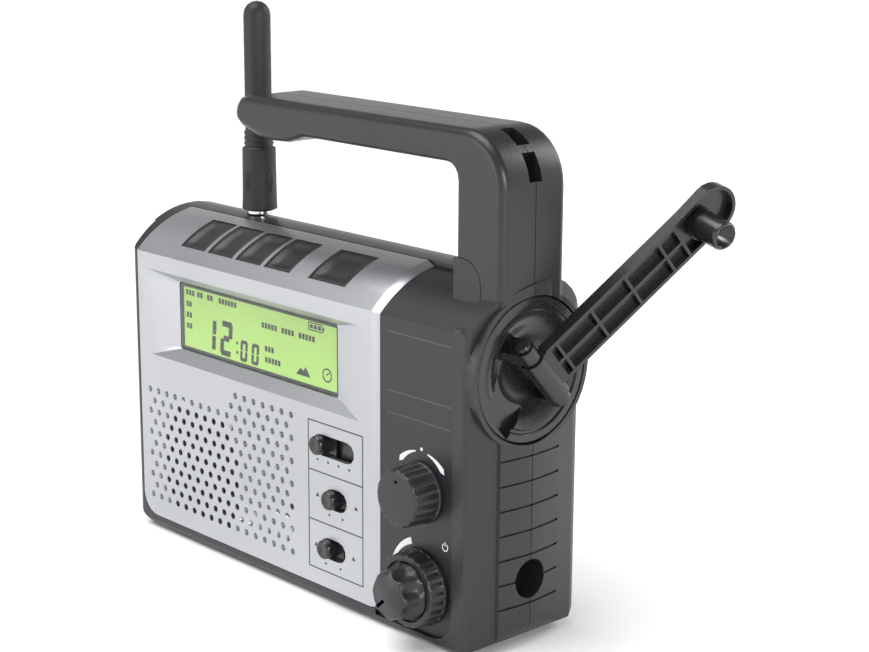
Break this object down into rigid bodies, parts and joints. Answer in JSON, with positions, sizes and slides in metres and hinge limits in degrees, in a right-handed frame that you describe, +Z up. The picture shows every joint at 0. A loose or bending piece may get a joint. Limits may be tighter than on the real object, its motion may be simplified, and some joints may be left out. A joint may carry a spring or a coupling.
{
  "type": "emergency hand-crank radio",
  "caption": "Boxy hand-crank emergency radio with a hooked carry handle, wide display, speaker grille, top keys, side knobs, folding crank and rubber antenna.",
  "frame": {"origin": "middle of the housing's underside, on the parting line; the feet stand 1.2 mm below it", "axes": "+X along the front towards the crank end, -Y out of the front face, +Z up"},
  "size_m": [0.2621, 0.1178, 0.231],
  "materials": {
    "charcoal_plastic": "fine matte texture",
    "control_plastic": "satin",
    "silver_plastic": "satin silver paint",
    "black_plastic": "satin",
    "black_rubber": "matte",
    "clear_plastic": "clear",
    "display_glass": "yellow-green, lit from behind",
    "light_guide": "milky",
    "steel": "plain",
    "plated_metal": "bright",
    "circuit_board": "solder mask",
    "speaker_paper": "pressed paper",
    "gear_plastic": "moulded",
    "cell_wrap": "printed sleeve",
    "pack_wrap": "shrink wrap"
  },
  "bodies": {
    "housing": {"antenna_connector": "plated_metal", "band_switch": "steel", "battery_pack": "pack_wrap", "cell_1": "cell_wrap", "cell_2": "cell_wrap", "cell_3": "cell_wrap", "control_panel": "control_plastic", "ferrite_rod": "black_plastic", "foot_1": "black_rubber", "foot_2": "black_rubber", "foot_3": "black_rubber", "foot_4": "black_rubber", "front_bezel": "silver_plastic", "front_shell": "charcoal_plastic", "gear_plate": "steel", "generator": "black_plastic", "housing_screw_1": "steel", "housing_screw_2": "steel", "housing_screw_3": "steel", "housing_screw_4": "steel", "key_board": "circuit_board", "lamp_led": "light_guide", "lamp_lens": "clear_plastic", "lamp_reflector": "plated_metal", "lcd_backlight": "light_guide", "lcd_glass": "display_glass", "lcd_lens": "clear_plastic", "light_switch": "steel", "main_board": "circuit_board", "microphone": "steel", "rear_shell": "charcoal_plastic", "source_switch": "steel", "speaker_cone": "speaker_paper", "speaker_frame": "steel", "tuning_control": "circuit_board", "volume_control": "circuit_board"},
    "crank_disc": {"crank_disc": "black_plastic", "drive_gear": "gear_plastic", "crank_pin": "steel"},
    "crank_arm": {"crank_arm": "black_plastic", "crank_knob_screw": "steel"},
    "crank_knob": {"crank_knob": "black_plastic"},
    "idler_gear": {"idler_gear": "gear_plastic"},
    "generator_rotor": {"generator_rotor": "steel"},
    "tuning": {"tuning_knob": "black_plastic", "tuning_shaft": "steel"},
    "tone": {"tone_ring": "black_plastic"},
    "volume": {"volume_knob": "black_plastic", "volume_shaft": "steel"},
    "antenna": {"antenna_whip": "black_rubber"},
    "battery_door": {"battery_door": "charcoal_plastic"},
    "band_knob": {"band_knob": "black_plastic"},
    "source_knob": {"source_knob": "black_plastic"},
    "light_knob": {"light_knob": "black_plastic"},
    "button_1": {"button_1": "black_rubber"},
    "button_2": {"button_2": "black_rubber"},
    "button_3": {"button_3": "black_rubber"},
    "button_4": {"button_4": "black_rubber"},
    "button_5": {"button_5": "black_rubber"}
  },
  "joints": [
    {"name": "crank_spin", "type": "hinge", "parent": "housing", "child": "crank_disc", "pos_m": [0.1, 0, 0.1063], "axis": [1, 0, 0], "continuous": true},
    {"name": "crank_fold", "type": "hinge", "parent": "crank_disc", "child": "crank_arm", "pos_m": [0.1132, 0, 0.1063], "axis": [0, 0.6691, -0.7431], "range_deg": [0, 164]},
    {"name": "crank_knob_spin", "type": "hinge", "parent": "crank_arm", "child": "crank_knob", "pos_m": [0.13524, 0.05788, 0.15842], "axis": [0.9622, -0.2023, -0.1822], "continuous": true},
    {"name": "idler_spin", "type": "hinge", "parent": "housing", "child": "idler_gear", "pos_m": [0.094, 0.012, 0.0762], "axis": [1, 0, 0], "continuous": true},
    {"name": "rotor_spin", "type": "hinge", "parent": "housing", "child": "generator_rotor", "pos_m": [0.094, 0.01, 0.05832], "axis": [1, 0, 0], "continuous": true},
    {"name": "tuning_turn", "type": "hinge", "parent": "housing", "child": "tuning", "pos_m": [0.07915, -0.035, 0.0584], "axis": [0, 1, 0], "continuous": true},
    {"name": "tone_turn", "type": "hinge", "parent": "housing", "child": "tone", "pos_m": [0.07915, -0.035, 0.0209], "axis": [0, 1, 0], "range_deg": [-135, 135]},
    {"name": "volume_turn", "type": "hinge", "parent": "housing", "child": "volume", "pos_m": [0.07915, -0.035, 0.0209], "axis": [0, 1, 0], "range_deg": [0, 300]},
    {"name": "antenna_turn", "type": "hinge", "parent": "housing", "child": "antenna", "pos_m": [-0.0662, 0.01, 0.16], "axis": [0, 0, 1], "continuous": true},
    {"name": "button_1_press", "type": "slide", "parent": "housing", "child": "button_1", "axis": [0, 0.4587, -0.8886], "range_m": [0, 0.001], "stiffness_N_per_m": 600, "springref_m": -0.001},
    {"name": "button_2_press", "type": "slide", "parent": "housing", "child": "button_2", "axis": [0, 0.4587, -0.8886], "range_m": [0, 0.001], "stiffness_N_per_m": 600, "springref_m": -0.001},
    {"name": "button_3_press", "type": "slide", "parent": "housing", "child": "button_3", "axis": [0, 0.4587, -0.8886], "range_m": [0, 0.001], "stiffness_N_per_m": 600, "springref_m": -0.001},
    {"name": "button_4_press", "type": "slide", "parent": "housing", "child": "button_4", "axis": [0, 0.4587, -0.8886], "range_m": [0, 0.001], "stiffness_N_per_m": 600, "springref_m": -0.001},
    {"name": "button_5_press", "type": "slide", "parent": "housing", "child": "button_5", "axis": [0, 0.4587, -0.8886], "range_m": [0, 0.001], "stiffness_N_per_m": 600, "springref_m": -0.001},
    {"name": "band_slide", "type": "slide", "parent": "housing", "child": "band_knob", "axis": [1, 0, 0], "range_m": [0, 0.016]},
    {"name": "source_slide", "type": "slide", "parent": "housing", "child": "source_knob", "axis": [1, 0, 0], "range_m": [0, 0.0044]},
    {"name": "light_slide", "type": "slide", "parent": "housing", "child": "light_knob", "axis": [1, 0, 0], "range_m": [0, 0.0064]},
    {"name": "door_lift", "type": "slide", "parent": "housing", "child": "battery_door", "axis": [0, 1, 0], "range_m": [0, 0.015]}
  ],
  "couplings": [
    {"joint": "idler_spin", "follows": "crank_spin", "ratio": -2},
    {"joint": "rotor_spin", "follows": "crank_spin", "ratio": 3}
  ]
}
